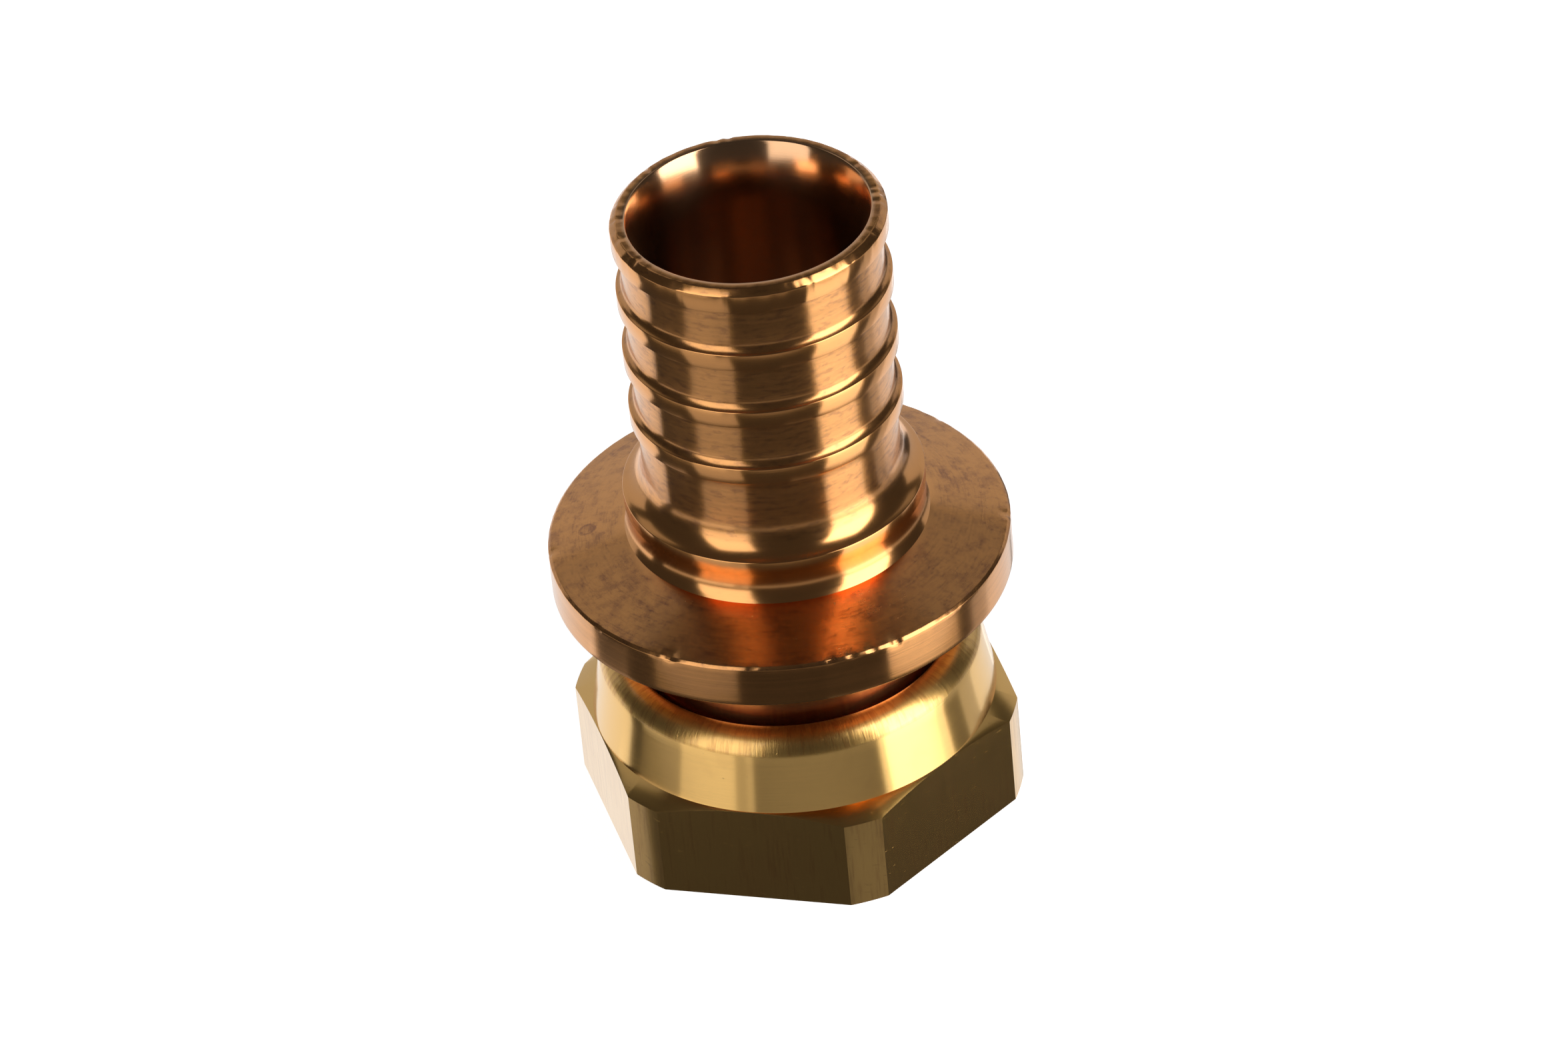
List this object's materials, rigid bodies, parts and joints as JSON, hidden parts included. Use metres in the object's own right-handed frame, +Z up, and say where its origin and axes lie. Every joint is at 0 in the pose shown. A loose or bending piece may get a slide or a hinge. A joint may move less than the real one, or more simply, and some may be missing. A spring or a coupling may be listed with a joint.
{
  "type": "union nut pipe adapter",
  "caption": "Press-sleeve pipe adapter: a ribbed, bell-mouthed spigot with a wide stop flange, and a captive swivel union nut with a parallel pipe thread.",
  "frame": {"origin": "on the axis, in the plane of the nut's open end face", "axes": "+Z up the spigot along the axis; two of the nut's flats face +Y and -Y"},
  "size_m": [0.0338, 0.0338, 0.0508],
  "materials": {
    "gunmetal": "reddish gunmetal, machine turned, lightly tarnished",
    "nut_brass": "yellow brass, machined flats and a rolled lip",
    "washer_rubber": "black sealing rubber"
  },
  "bodies": {
    "adapter": {"adapter_body": "gunmetal"},
    "washer": {"sealing_washer": "washer_rubber"},
    "nut": {"union_nut": "nut_brass"}
  },
  "joints": [
    {"name": "nut_play", "type": "slide", "parent": "adapter", "child": "washer", "axis": [0, 0, -1], "range_m": [0, 0.0006]},
    {"name": "nut_swivel", "type": "hinge", "parent": "washer", "child": "nut", "pos_m": [0, 0, 0], "axis": [0, 0, 1], "continuous": true}
  ]
}
